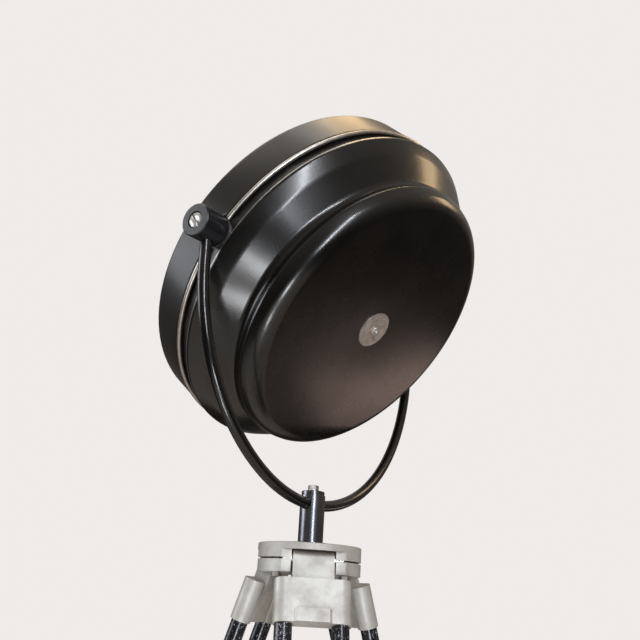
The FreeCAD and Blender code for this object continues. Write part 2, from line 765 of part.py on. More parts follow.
def make_leg_head():
    bottom = saddle_top + saddle_height
    front = tube_offset + socket_radius
    tongue_length = saddle_top + shelf_height
    tongue = joined(cylinder(tongue_radius, tongue_width, Vector(-tongue_width / 2, 0, 0), across),
                    block([tongue_width, tongue_radius * 2, tongue_length], down(tongue_length / 2)))
    barrels = [cylinder(socket_radius, saddle_height, place) for place in tube_places(bottom)]
    web_place = down(saddle_top + saddle_height / 2, 0, front - saddle_web / 2)
    web = block([tube_spacing, saddle_web, saddle_height], web_place)
    shelf_place = down(saddle_top + shelf_height / 2, 0, (front - tongue_radius) / 2)
    shelf = block([tongue_width, front + tongue_radius, shelf_height], shelf_place)
    body = joined(tongue, web, shelf, make_pad(bottom, front), *barrels)
    depth = saddle_height - socket_floor
    sockets = [cylinder(tube_radius + seat_gap, depth + 1, place - upwards) for place in tube_places(bottom)]
    pin_bore = cylinder(pin_radius + seat_gap, tongue_width + 2, Vector(-tongue_width / 2 - 1, 0, 0), across)
    return body.cut(sockets + [pin_bore])


def make_pad(bottom, front):
    """The raised step low on a leg head's face, with sloping sides."""
    face = front + pad_rise
    pad = block([pad_width, pad_depth + pad_rise, pad_height],
                down(bottom - pad_height / 2, 0, face - (pad_depth + pad_rise) / 2))
    corners = [e for e in pad.Edges if e.CenterOfMass.y > face - 1e-6 and abs(e.CenterOfMass.x) > 1]
    return pad.makeChamfer(pad_slope, corners)


def make_hinge_pin():
    pin = cylinder(pin_radius, pin_length, Vector(-pin_length / 2, 0, 0), across)
    return pin.makeChamfer(0.8, [e for e in pin.Edges if e.Length > pin_radius * 4])


def make_leg_tubes():
    top = saddle_top + socket_floor + seat_gap
    bore = tube_radius - tube_wall
    return Part.makeCompound([ring(tube_radius, bore, tube_end - top, place) for place in tube_places(tube_end)])


def make_lower_clamp():
    top = tube_end - clamp_overlap
    bottom = top + clamp_height
    barrel_radius = tube_radius + clamp_socket_wall
    barrels = [cylinder(barrel_radius, clamp_height, place) for place in tube_places(bottom)]
    sleeve = cylinder(clamp_sleeve_radius, clamp_height, down(bottom, 0, tube_offset))
    level = down(top + clamp_height / 2, 0, tube_offset)
    web = block([tube_spacing, clamp_web, clamp_height - clamp_web], level)
    screw_boss = cylinder(screw_boss_radius, clamp_sleeve_radius + wing_stand_off, level, outwards)
    body = joined(sleeve, web, screw_boss, *barrels)
    sockets = [cylinder(tube_radius + seat_gap, clamp_overlap + seat_gap + 1, place - upwards * seat_gap)
               for place in tube_places(tube_end)]
    bore = cylinder(lower_radius + running_gap, clamp_height + 2, down(bottom + 1, 0, tube_offset))
    screw_bore = cylinder(clamp_screw_radius + running_gap, big, level, outwards)
    return body.cut(sockets + [bore, screw_bore])


def make_clamp_screw():
    level = tube_end - clamp_overlap + clamp_height / 2
    tip = down(level, 0, tube_offset + lower_radius + running_gap)
    hub_base = tube_offset + clamp_sleeve_radius + wing_stand_off + washer_gap
    shank = cylinder(clamp_screw_radius, hub_base - tip.y + 2, tip, outwards)
    hub = cylinder(wing_hub_radius, wing_hub_length, down(level, 0, hub_base), outwards)
    hub = hub.makeChamfer(1.5, [max(hub.Edges, key=lambda e: e.CenterOfMass.y)])
    wing = block([wing_span, wing_height, wing_thickness], down(level, 0, hub_base + wing_hub_length * 0.75))
    corners = [e for e in wing.Edges if abs(abs(e.CenterOfMass.x) - wing_span / 2) < 1e-6
               and abs(e.Length - wing_thickness) < 1e-6]
    wing = wing.makeFillet(wing_thickness * 0.9, corners)
    return joined(shank, hub, wing)


def make_lower_leg():
    bottom = leg_reach - shoe_length
    base = down(bottom, 0, tube_offset)
    return ring(lower_radius, lower_radius - lower_wall, bottom - lower_top, base)


def make_top_guide():
    bottom = lower_top + guide_height - guide_roof
    sleeves = [cylinder(tube_radius + guide_wall, guide_height, place) for place in tube_places(bottom)]
    cup = cylinder(lower_radius + guide_cup_wall, guide_height, down(bottom, 0, tube_offset))
    middle = down(bottom - guide_height / 2, 0, tube_offset)
    web = block([tube_spacing, guide_web, guide_height - guide_web], middle)
    bore_radius = tube_radius + running_gap
    bores = [cylinder(bore_radius, guide_height + 2, place) for place in tube_places(bottom + 1)]
    depth = guide_height - guide_roof + seat_gap
    leg_bore = cylinder(lower_radius + seat_gap, depth + 1, down(bottom + 1, 0, tube_offset))
    return joined(web, cup, *sleeves).cut(bores + [leg_bore])


def make_foot_shoe():
    seat = leg_reach - shoe_length
    shoe_radius = lower_radius + shoe_wall
    barrel_end = seat - shoe_socket + shoe_barrel
    sleeve = cylinder(shoe_radius, shoe_barrel, down(barrel_end, 0, tube_offset))
    taper_end = leg_reach - spike_length * 0.55
    taper_base = down(taper_end, 0, tube_offset)
    taper = Part.makeCone(shoe_tip_radius, shoe_radius, taper_end - barrel_end, taper_base)
    tread_middle = tube_offset + shoe_tip_radius - tread_root + tread_size[1] / 2
    tread = block(tread_size, down(leg_reach - tread_height, 0, tread_middle))
    corners = [e for e in tread.Edges
               if abs(e.Length - tread_size[2]) < 1e-6 and e.CenterOfMass.y > tread_middle]
    tread = tread.makeFillet(tread_corner, corners)
    leg_bore = cylinder(lower_radius + seat_gap, shoe_socket + 1, down(seat, 0, tube_offset))
    spike_bore = cylinder(spike_radius + seat_gap, spike_length, down(leg_reach, 0, tube_offset))
    return joined(sleeve, taper, tread).cut([leg_bore, spike_bore])


def make_foot_spike():
    base = down(leg_reach + 4.0, 0, tube_offset)
    tip_length = spike_length * 0.5 + 4.0
    tip = Part.makeCone(spike_tip_radius, spike_radius, tip_length, base)
    stub = cylinder(spike_radius, spike_length - seat_gap - (tip_length - 4.0), base + upwards * tip_length)
    return joined(tip, stub)


def above_floor(shape):
    return shape.common(Part.makeBox(2 * big, 2 * big, big, Vector(-big, -big, 0)))


# ---------------------------------------------------------------- assembly
def head_nodes():
    nodes = {
        "front_rim": make_front_rim(),
        "trim_bead": make_trim_bead(),
        "carrier_ring": make_carrier_ring(),
        "rear_shell": make_rear_shell(),
        "front_glass": make_front_glass(),
        "glass_gasket": make_glass_gasket(),
        "glass_clips": make_glass_clips(),
        "reflector": make_reflector(),
        "reflector_screws": make_reflector_screws(),
        "lampholder": make_lampholder(),
        "holder_stem": make_holder_stem(),
        "bulb_cap": make_bulb_cap(),
        "bulb": make_bulb(),
        "rear_washers": Part.makeCompound([make_rear_washer(), make_screw_washer()]),
        "rear_screw": make_rear_screw(),
        "cable_gland": make_cable_gland(),
        "gland_nut": make_gland_nut(),
    }
    pairs = {"pivot_bushes": make_pivot_bush(), "friction_washers": make_friction_washer()}
    for name, piece in pairs.items():
        nodes[name] = Part.makeCompound([piece, mirrored(piece)])
    return {name: in_head(shape) for name, shape in nodes.items()}


def yoke_nodes():
    nodes = {"yoke_rod": make_yoke_rod()}
    boss = make_pivot_boss()
    nodes["pivot_boss_right"] = boss
    nodes["pivot_boss_left"] = mirrored(boss)
    for name, piece in (("pivot_screws", make_pivot_screw()), ("pivot_nuts", make_pivot_nut())):
        nodes[name] = Part.makeCompound([piece, mirrored(piece)])
    return {name: in_yoke(shape) for name, shape in nodes.items()}


def stand_nodes():
    return {
        "mast": make_mast(),
        "mast_cap": make_mast_cap(),
        "clamp_bolt": make_clamp_bolt(),
        "tripod_plate": make_tripod_plate(),
        "hinge_caps": make_hinge_caps(),
        "cap_screws": make_cap_screws(),
        "fixing_washer": make_fixing_washer(),
        "centre_screw": make_centre_screw(),
        "centre_knob": make_centre_knob(),
    }


def leg_nodes():
    pieces = {
        "leg_head": make_leg_head(),
        "hinge_pin": make_hinge_pin(),
        "leg_tubes": make_leg_tubes(),
        "lower_clamp": make_lower_clamp(),
        "clamp_screw": make_clamp_screw(),
        "lower_leg": make_lower_leg(),
        "top_guide": make_top_guide(),
        "foot_shoe": make_foot_shoe(),
    }
    spike = make_foot_spike()
    nodes = {}
    for number, azimuth in enumerate(leg_azimuths, 1):
        for name, shape in pieces.items():
            nodes["%s_%d" % (name, number)] = in_leg(shape, azimuth)
        nodes["foot_spike_%d" % number] = above_floor(in_leg(spike, azimuth))
    return nodes


os.makedirs("parts", exist_ok=True)
all_nodes = {}
for group in (head_nodes(), yoke_nodes(), stand_nodes(), leg_nodes()):
    all_nodes.update(group)
for name, shape in all_nodes.items():
    solids = shape.Solids
    if not solids or not all(solid.isValid() for solid in solids):
        raise ValueError(name + " has no valid solid")
    solid_set = solids[0] if len(solids) == 1 else Part.makeCompound(solids)
    solid_set.exportStep(os.path.join("parts", name + ".step"))
print(len(all_nodes), "nodes, pivot axis at", round(pivot_height, 1))
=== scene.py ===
import json
import math
import bpy
from mathutils import Matrix, Vector


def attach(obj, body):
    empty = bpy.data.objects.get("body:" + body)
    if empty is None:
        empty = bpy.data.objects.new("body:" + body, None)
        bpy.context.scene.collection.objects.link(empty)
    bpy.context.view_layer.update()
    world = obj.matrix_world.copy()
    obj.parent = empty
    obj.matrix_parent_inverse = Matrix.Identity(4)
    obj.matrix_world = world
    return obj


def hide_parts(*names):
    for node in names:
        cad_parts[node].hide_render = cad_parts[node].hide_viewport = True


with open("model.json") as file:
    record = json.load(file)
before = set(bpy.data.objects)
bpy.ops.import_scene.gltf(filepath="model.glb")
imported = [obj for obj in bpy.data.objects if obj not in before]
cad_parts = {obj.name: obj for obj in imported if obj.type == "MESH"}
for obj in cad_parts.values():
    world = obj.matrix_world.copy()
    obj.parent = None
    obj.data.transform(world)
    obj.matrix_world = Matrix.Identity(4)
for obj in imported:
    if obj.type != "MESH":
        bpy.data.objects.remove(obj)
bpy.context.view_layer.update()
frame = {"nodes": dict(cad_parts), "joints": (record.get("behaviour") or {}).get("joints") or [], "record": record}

mm = 0.001   # a millimetre, in metres
print("frame loaded")


# ---- camera, light and floor
studio = {
    "place": (0.9297, 0.6280, 1.0798),
    "looks": (-0.77938, -0.53155, 0.33171),
    "roll": 0.061,
    "lens": 45.4,
    "wall": "#EFEBE9",
    "floor": "#CFCBC6",
    "glow": "#F1E6DC",
    "ambient": (0.012, 0.36),   # strength of the glow below and above
    "horizon": (-0.35, 0.6),
    "floorRadius": 1.9,
    "aim": (0, 0, 1.4),
    "lights": (  # name, place, width, height, watts, colour
        ("tallWindow", (1.55, 1.85, 1.9), 0.16, 2.0, 36, "#F3F7FF"),
        ("leftWindow", (1.9, -2.4, 2.1), 1.4, 1.6, 30, "#F4F8FF"),
        ("ceilingLight", (0.5, -0.6, 3.9), 0.9, 2.0, 16, "#FFF9F2"),
        ("lowBounce", (1.07, 0.8, 0.45), 0.26, 0.26, 4.5, "#F8FBFF"),
        ("kickLight", (0.8, 0.3, 0.32), 0.2, 0.2, 2.2, "#F8FBFF"),
        ("warmTop", (-0.45, -0.05, 3.6), 0.4, 0.9, 7, "#FFDCA8"),
        ("warmBack", (-1.5, 1.35, 2.75), 0.5, 0.8, 6, "#FFDCA8"),
        ("farCard", (-2.4, 0.68, 0.38), 0.3, 0.7, 1.5, "#F2D2C4"),
    ),
}


def linear(code):
    parts = [int(code[k:k + 2], 16) / 255 for k in (1, 3, 5)]
    parts = [v / 12.92 if v <= 0.04045 else ((v + 0.055) / 1.055) ** 2.4 for v in parts]
    return (*parts, 1.0)


def addNode(tree, kind, settings=None, links=None):
    node = tree.nodes.new(kind)
    for key, value in (settings or {}).items():
        if key == "stops":
            ramp = node.color_ramp
            while len(ramp.elements) < len(value):
                ramp.elements.new(0.5)
            for stop, (place, colour) in zip(ramp.elements, value):
                stop.position = place
                stop.color = colour
        elif isinstance(key, int) or key in node.inputs:
            node.inputs[key].default_value = value
        else:
            setattr(node, key, value)
    for key, source in (links or {}).items():
        tree.links.new(source, node.inputs[key])
    return node


def makeCamera(values):
    looks = Vector(values["looks"]).normalized()
    level = looks.cross(Vector((0, 0, 1))).normalized()
    upright = level.cross(looks)
    side = level * math.cos(values["roll"]) + upright * math.sin(values["roll"])
    top = upright * math.cos(values["roll"]) - level * math.sin(values["roll"])
    data = bpy.data.cameras.new("studioCamera")
    data.lens = values["lens"]
    data.sensor_width = 36
    camera = bpy.data.objects.new("studioCamera", data)
    camera.matrix_world = Matrix.Translation(values["place"]) @ Matrix(
        (side, top, -looks)).transposed().to_4x4()
    bpy.context.scene.collection.objects.link(camera)
    bpy.context.scene.camera = camera


def softLight(name, place, aim, width, height, power, colour):
    data = bpy.data.lights.new(name, "AREA")
    data.shape = "RECTANGLE"
    data.size, data.size_y = width, height
    data.energy = power
    data.color = linear(colour)[:3]
    lamp = bpy.data.objects.new(name, data)
    lamp.location = place
    lamp.visible_camera = False
    lamp.rotation_euler = (Vector(aim) - Vector(place)).to_track_quat("-Z", "Y").to_euler()
    bpy.context.scene.collection.objects.link(lamp)


def makeStudio(values):
    makeCamera(values)
    for name, place, width, height, power, colour in values["lights"]:
        softLight(name, place, values["aim"], width, height, power, colour)
    bpy.context.scene.view_settings.view_transform = "Standard"
    world = bpy.data.worlds.new("paleStudio")
    bpy.context.scene.world = world
    world.use_nodes = True
    tree = world.node_tree
    tree.nodes.clear()
    # pale wall behind the object; what lights it is dim below the horizon and brighter above
    path = addNode(tree, "ShaderNodeLightPath")
    wall = addNode(tree, "ShaderNodeBackground", {"Color": linear(values["wall"])})
    height = addNode(tree, "ShaderNodeSeparateXYZ", None,
                     {0: addNode(tree, "ShaderNodeTexCoord").outputs["Generated"]}).outputs["Z"]
    glow = addNode(tree, "ShaderNodeMapRange",
                   {"From Min": values["horizon"][0], "From Max": values["horizon"][1],
                    "To Min": values["ambient"][0], "To Max": values["ambient"][1]},
                   {"Value": height}).outputs[0]
    lit = addNode(tree, "ShaderNodeBackground", {"Color": linear(values["glow"])}, {"Strength": glow})
    mix = addNode(tree, "ShaderNodeMixShader", None,
                  {0: path.outputs["Is Camera Ray"], 1: lit.outputs[0], 2: wall.outputs[0]})
    addNode(tree, "ShaderNodeOutputWorld", None, {"Surface": mix.outputs[0]})
    bpy.ops.mesh.primitive_circle_add(vertices=128, radius=values["floorRadius"], fill_type="NGON",
                                      location=(0, 0, 0))
    floor = bpy.context.object
    floor.name = "studioFloor"
    floor.data.materials.clear()
    floor.data.materials.append(mattPaint(values["floor"]))


def mattPaint(colour):
    # matt painted studio floor, rolled on: a fine stipple
    material = bpy.data.materials.new("mattPaintedFloor")
    material.use_nodes = True
    tree = material.node_tree
    shader = tree.nodes["Principled BSDF"]
    place = addNode(tree, "ShaderNodeTexCoord").outputs["Object"]
    stipple = addNode(tree, "ShaderNodeTexNoise", {"Scale": 1 / 0.0025, "Detail": 3.0},
                      {"Vector": place}).outputs[0]
    bump = addNode(tree, "ShaderNodeBump", {"Strength": 0.1, "Distance": 0.0004},
                   {"Height": stipple}).outputs[0]
    tree.links.new(bump, shader.inputs["Normal"])
    shader.inputs["Base Color"].default_value = linear(colour)
    shader.inputs["Roughness"].default_value = 0.75
    return material


bpy.ops.object.select_all(action="DESELECT")
makeStudio(studio)
print("studio ready")


# ---- places of the tilted bodies, from the joints
joints = {joint["name"]: joint for joint in frame["joints"]}
lean = math.asin(-joints["head_tilt"]["axis"][2])
lightTilt = math.radians(41.6)   # how far the lamp's beam points above level
yokeFrame = Matrix.Translation(joints["head_tilt"]["pos_m"]) @ Matrix.Rotation(lean, 4, "Y")
headFrame = yokeFrame @ Matrix.Rotation(-(math.pi / 2 + lightTilt), 4, "X")


# ---- finishes
def newMaterial(name):
    material = bpy.data.materials.new(name)
    material.use_nodes = True
    tree = material.node_tree
    tree.nodes.clear()
    shader = addNode(tree, "ShaderNodeBsdfPrincipled")
    addNode(tree, "ShaderNodeOutputMaterial", None, {"Surface": shader.outputs[0]})
    return material, tree, shader


def objectPlace(tree, place=None, stretch=(1, 1, 1)):
    # object coordinates, turned into the frame of a tilted piece where one is given
    coords = addNode(tree, "ShaderNodeTexCoord").outputs["Object"]
    inverse = (place or Matrix.Identity(4)).inverted()
    turned = addNode(tree, "ShaderNodeMapping",
                     {"Location": inverse.translation, "Rotation": inverse.to_euler()},
                     {"Vector": coords}).outputs[0]
    return addNode(tree, "ShaderNodeMapping", {"Scale": stretch}, {"Vector": turned}).outputs[0]


def connect(tree, shader, links):
    for socket, source in links.items():
        tree.links.new(source, shader.inputs[socket])


def sprayedLacquer(name, values, wornHem=False):
    # black stoving lacquer sprayed on spun sheet: glossy, faint orange peel, dust, hairline scratches
    material, tree, shader = newMaterial(name)
    place = objectPlace(tree)
    cloud = addNode(tree, "ShaderNodeTexNoise",
                    {"Scale": 1 / (values["smudge"] * mm), "Detail": 4.0, "Roughness": 0.6},
                    {"Vector": place}).outputs[0]
    tone = addNode(tree, "ShaderNodeValToRGB",
                   {"stops": [(0.35, linear(values["dark"])), (0.75, linear(values["light"]))]},
                   {"Fac": cloud}).outputs[0]
    for turn in values["scratchTurns"]:
        along = addNode(tree, "ShaderNodeMapping", {"Rotation": turn, "Scale": values["scratchStretch"]},
                        {"Vector": place}).outputs[0]
        hair = addNode(tree, "ShaderNodeTexNoise", {"Scale": 1.0, "Detail": 2.0, "Roughness": 0.4},
                       {"Vector": along}).outputs[0]
        scratched = addNode(tree, "ShaderNodeMapRange", {"From Min": 0.8, "From Max": 0.82, "To Max": 0.15},
                            {"Value": hair}).outputs[0]
        tone = addNode(tree, "ShaderNodeMix", {"data_type": "RGBA", 7: linear(values["scratch"])},
                       {0: scratched, 6: tone}).outputs[2]
    specks = addNode(tree, "ShaderNodeTexVoronoi", {"Scale": 1 / (values["dustSpacing"] * mm)},
                     {"Vector": place})
    chosen = addNode(tree, "ShaderNodeMapRange",
                     {"From Min": 0.022, "From Max": 0.034, "To Min": 0.8, "To Max": 0.0},
                     {"Value": specks.outputs["Distance"]}).outputs[0]
    dusty = addNode(tree, "ShaderNodeMapRange", {"From Min": 0.52, "From Max": 0.62},
                    {"Value": cloud}).outputs[0]
    dust = addNode(tree, "ShaderNodeMath", {"operation": "MULTIPLY"}, {0: chosen, 1: dusty}).outputs[0]
    tone = addNode(tree, "ShaderNodeMix", {"data_type": "RGBA", 7: linear(values["dust"])},
                   {0: dust, 6: tone}).outputs[2]
    rough = addNode(tree, "ShaderNodeMapRange",
                    {"From Min": 0.3, "From Max": 0.8, "To Min": values["rough"][0],
                     "To Max": values["rough"][1]}, {"Value": cloud}).outputs[0]
    if wornHem:
        # the rolled hem of the shell is rubbed through to bare metal along its outer edge
        local = objectPlace(tree, headFrame)
        flat = addNode(tree, "ShaderNodeVectorMath", {"operation": "MULTIPLY", 1: (1, 1, 0)},
                       {0: local}).outputs[0]
        radius = addNode(tree, "ShaderNodeVectorMath", {"operation": "LENGTH"}, {0: flat}).outputs["Value"]
        depth = addNode(tree, "ShaderNodeSeparateXYZ", None, {0: local}).outputs["Z"]
        outer = addNode(tree, "ShaderNodeMapRange",
                        {"From Min": values["hemRadius"][0] * mm, "From Max": values["hemRadius"][1] * mm},
                        {"Value": radius}).outputs[0]
        front = addNode(tree, "ShaderNodeMapRange",
                        {"From Min": values["hemDepth"][0] * mm, "From Max": values["hemDepth"][1] * mm,
                         "To Min": 1.0, "To Max": 0.0}, {"Value": depth}).outputs[0]
        patchy = addNode(tree, "ShaderNodeMapRange", {"From Min": 0.1, "From Max": 0.4},
                         {"Value": cloud}).outputs[0]
        rubbed = addNode(tree, "ShaderNodeMath", {"operation": "MULTIPLY"}, {0: outer, 1: front}).outputs[0]
        rubbed = addNode(tree, "ShaderNodeMath", {"operation": "MULTIPLY"},
                         {0: rubbed, 1: patchy}).outputs[0]
        tone = addNode(tree, "ShaderNodeMix", {"data_type": "RGBA", 7: linear(values["bare"])},
                       {0: rubbed, 6: tone}).outputs[2]
        connect(tree, shader, {"Metallic": rubbed})
    peel = addNode(tree, "ShaderNodeTexNoise", {"Scale": 1 / (values["peel"] * mm), "Detail": 2.0},
                   {"Vector": place}).outputs[0]
    bump = addNode(tree, "ShaderNodeBump", {"Strength": 0.12, "Distance": 0.00005},
                   {"Height": peel}).outputs[0]
    connect(tree, shader, {"Base Color": tone, "Roughness": rough, "Normal": bump})
    shader.inputs["IOR"].default_value = 1.52
    shader.inputs["Coat Weight"].default_value = values["coat"]
    shader.inputs["Coat Roughness"].default_value = values["coatRough"]
    return material


def workedMetal(name, values, stretch=(1, 1, 1)):
    # bare or plated metal: two close tones, and a fine grain left by the tool or the plating bath
    material, tree, shader = newMaterial(name)
    where = objectPlace(tree)
    cloud = addNode(tree, "ShaderNodeTexNoise",
                    {"Scale": 1 / (values["patch"] * mm), "Detail": 4.0, "Roughness": 0.6},
                    {"Vector": where}).outputs[0]
    tone = addNode(tree, "ShaderNodeValToRGB",
                   {"stops": [(0.35, linear(values["light"])), (0.72, linear(values["dark"]))]},
                   {"Fac": cloud}).outputs[0]
    grain = addNode(tree, "ShaderNodeTexNoise", {"Scale": 1 / (values["grain"] * mm), "Detail": 2.0},
                    {"Vector": objectPlace(tree, None, stretch)}).outputs[0]
    rough = addNode(tree, "ShaderNodeMapRange",
                    {"From Min": 0.25, "From Max": 0.75, "To Min": values["rough"][0],
                     "To Max": values["rough"][1]}, {"Value": grain}).outputs[0]
    bump = addNode(tree, "ShaderNodeBump", {"Strength": 0.4, "Distance": values["depth"] * mm},
                   {"Height": grain}).outputs[0]
    connect(tree, shader, {"Base Color": tone, "Roughness": rough, "Normal": bump})
    shader.inputs["Metallic"].default_value = 1.0
    return material


def latheTurnedMetal(name, values):
    # rings left by the lathe about the head's axis, dulled and stained with age
    material, tree, shader = newMaterial(name)
    where = objectPlace(tree, headFrame)
    flat = addNode(tree, "ShaderNodeVectorMath", {"operation": "MULTIPLY", 1: (1, 1, 0)},
                   {0: where}).outputs[0]
    radius = addNode(tree, "ShaderNodeVectorMath", {"operation": "LENGTH"}, {0: flat}).outputs["Value"]
    turns = addNode(tree, "ShaderNodeMath", {"operation": "MULTIPLY", 1: 1 / (values["pitch"] * mm)},
                    {0: radius}).outputs[0]
    rings = addNode(tree, "ShaderNodeTexNoise", {"noise_dimensions": "1D", "Scale": 1.0, "Detail": 2.0},
                    {"W": turns}).outputs[0]
    cloud = addNode(tree, "ShaderNodeTexNoise",
                    {"Scale": 1 / (values["patch"] * mm), "Detail": 5.0, "Roughness": 0.65},
                    {"Vector": where}).outputs[0]
    tone = addNode(tree, "ShaderNodeValToRGB",
                   {"stops": [(0.35, linear(values["light"])), (0.7, linear(values["dark"]))]},
                   {"Fac": cloud}).outputs[0]
    rough = addNode(tree, "ShaderNodeMapRange",
                    {"From Min": 0.25, "From Max": 0.75, "To Min": values["rough"][0],
                     "To Max": values["rough"][1]}, {"Value": rings}).outputs[0]
    bump = addNode(tree, "ShaderNodeBump", {"Strength": 0.5, "Distance": values["depth"] * mm},
                   {"Height": rings}).outputs[0]
    connect(tree, shader, {"Base Color": tone, "Roughness": rough, "Normal": bump})
    shader.inputs["Metallic"].default_value = values["metallic"]
    return material


def blastedCasting(name, values):
    # sand-cast aluminium, grit-blasted and clear lacquered: pale grey, fine pits, and brown darkening in the
    # hollows from ambient occlusion, which is painted shade that also stands for grime
    material, tree, shader = newMaterial(name)
    place = objectPlace(tree)
    cloud = addNode(tree, "ShaderNodeTexNoise",
                    {"Scale": 1 / (values["patch"] * mm), "Detail": 5.0, "Roughness": 0.6},
                    {"Vector": place}).outputs[0]
    tone = addNode(tree, "ShaderNodeValToRGB",
                   {"stops": [(0.4, linear(values["light"])), (0.75, linear(values["dark"]))]},
                   {"Fac": cloud}).outputs[0]
    # painted shade: ambient occlusion darkens hollows and corners towards brown, standing both for the shade there
    # and for grime
    hollow = addNode(tree, "ShaderNodeAmbientOcclusion", {"samples": 8, "Distance": 0.012}).outputs["AO"]
    hollowShadeAndGrime = addNode(tree, "ShaderNodeMapRange",
                    {"From Min": 0.35, "From Max": 0.8, "To Min": 0.55, "To Max": 0.0},
                    {"Value": hollow}).outputs[0]
    tone = addNode(tree, "ShaderNodeMix", {"data_type": "RGBA", 7: linear(values["hollowShadeAndGrime"])},
                   {0: hollowShadeAndGrime, 6: tone}).outputs[2]
    pits = addNode(tree, "ShaderNodeTexNoise",
                   {"Scale": 1 / (values["grit"] * mm), "Detail": 3.0, "Roughness": 0.7},
                   {"Vector": place}).outputs[0]
    pitted = addNode(tree, "ShaderNodeMapRange", {"From Min": 0.63, "From Max": 0.78, "To Max": 0.45},
                     {"Value": pits}).outputs[0]
    tone = addNode(tree, "ShaderNodeMix", {"data_type": "RGBA", 7: linear(values["pit"])},
                   {0: pitted, 6: tone}).outputs[2]
    rough = addNode(tree, "ShaderNodeMapRange",
                    {"From Min": 0.3, "From Max": 0.7, "To Min": values["rough"][0],
                     "To Max": values["rough"][1]}, {"Value": cloud}).outputs[0]
    bump = addNode(tree, "ShaderNodeBump", {"Strength": 0.5, "Distance": 0.00012},
                   {"Height": pits}).outputs[0]
    connect(tree, shader, {"Base Color": tone, "Roughness": rough, "Normal": bump})
    shader.inputs["Metallic"].default_value = values["metallic"]
    return material


def hammerLacquer(name, values):
    # black hammer lacquer on steel tube: small dimples, spattered and chipped pale in bands along the tube
    material, tree, shader = newMaterial(name)
    where = objectPlace(tree)
    dimples = addNode(tree, "ShaderNodeTexVoronoi",
                      {"Scale": 1 / (values["dimple"] * mm), "feature": "SMOOTH_F1"},
                      {"Vector": where}).outputs["Distance"]
    tone = addNode(tree, "ShaderNodeValToRGB",
                   {"stops": [(0.1, linear(values["dark"])), (0.7, linear(values["light"]))]},
                   {"Fac": dimples}).outputs[0]
    spots = addNode(tree, "ShaderNodeTexNoise",
                    {"Scale": 1 / (values["spatter"] * mm), "Detail": 3.0, "Roughness": 0.75},
                    {"Vector": objectPlace(tree, None, (1, 1, 0.5))}).outputs[0]
    bands = addNode(tree, "ShaderNodeTexNoise", {"Scale": 1 / (values["band"] * mm), "Detail": 2.0},
                    {"Vector": objectPlace(tree, None, (1, 1, 0.25))}).outputs[0]
    level = addNode(tree, "ShaderNodeMath", {"operation": "MULTIPLY_ADD", 1: 0.26, 2: -0.13},
                    {0: bands}).outputs[0]
    raised = addNode(tree, "ShaderNodeMath", {"operation": "ADD"}, {0: spots, 1: level}).outputs[0]
    chipped = addNode(tree, "ShaderNodeMapRange", {"From Min": 0.6, "From Max": 0.65, "To Max": 0.85},
                      {"Value": raised}).outputs[0]
    tone = addNode(tree, "ShaderNodeMix", {"data_type": "RGBA", 7: linear(values["chip"])},
                   {0: chipped, 6: tone}).outputs[2]
    rough = addNode(tree, "ShaderNodeMapRange", {"To Min": 0.24, "To Max": 0.55},
                    {"Value": chipped}).outputs[0]
    bump = addNode(tree, "ShaderNodeBump", {"Strength": 0.5, "Distance": 0.0003},
                   {"Height": dimples}).outputs[0]
    connect(tree, shader, {"Base Color": tone, "Roughness": rough, "Normal": bump})
    shader.inputs["Coat Weight"].default_value = 0.3
    shader.inputs["Coat Roughness"].default_value = 0.15
    return material


def mouldedPart(name, values):
    # moulded or glazed part: even colour with slight cloud, and the fine texture of its mould
    material, tree, shader = newMaterial(name)
    place = objectPlace(tree)
    cloud = addNode(tree, "ShaderNodeTexNoise", {"Scale": 1 / 0.02, "Detail": 3.0},
                    {"Vector": place}).outputs[0]
    tone = addNode(tree, "ShaderNodeValToRGB",
                   {"stops": [(0.3, linear(values["dark"])), (0.7, linear(values["light"]))]},
                   {"Fac": cloud}).outputs[0]
    rough = addNode(tree, "ShaderNodeMapRange",
                    {"From Min": 0.3, "From Max": 0.7, "To Min": values["rough"][0],
                     "To Max": values["rough"][1]}, {"Value": cloud}).outputs[0]
    fine = addNode(tree, "ShaderNodeTexNoise", {"Scale": 1 / 0.0008, "Detail": 2.0},
                   {"Vector": place}).outputs[0]
    bump = addNode(tree, "ShaderNodeBump", {"Strength": 0.3, "Distance": 0.00005},
                   {"Height": fine}).outputs[0]
    connect(tree, shader, {"Base Color": tone, "Roughness": rough, "Normal": bump})
    shader.inputs["IOR"].default_value = values["ior"]
    return material


def blownGlass(name, values):
    # pressed or blown glass with a faint ripple from the mould
    material, tree, shader = newMaterial(name)
    ripple = addNode(tree, "ShaderNodeTexNoise", {"Scale": 1 / 0.03, "Detail": 2.0},
                     {"Vector": objectPlace(tree)}).outputs[0]
    bump = addNode(tree, "ShaderNodeBump", {"Strength": 0.1, "Distance": 0.0003},
                   {"Height": ripple}).outputs[0]
    connect(tree, shader, {"Normal": bump})
    shader.inputs["Base Color"].default_value = linear(values["tint"])
    shader.inputs["Roughness"].default_value = values["rough"]
    shader.inputs["IOR"].default_value = 1.52
    shader.inputs["Transmission Weight"].default_value = values["clear"]
    return material


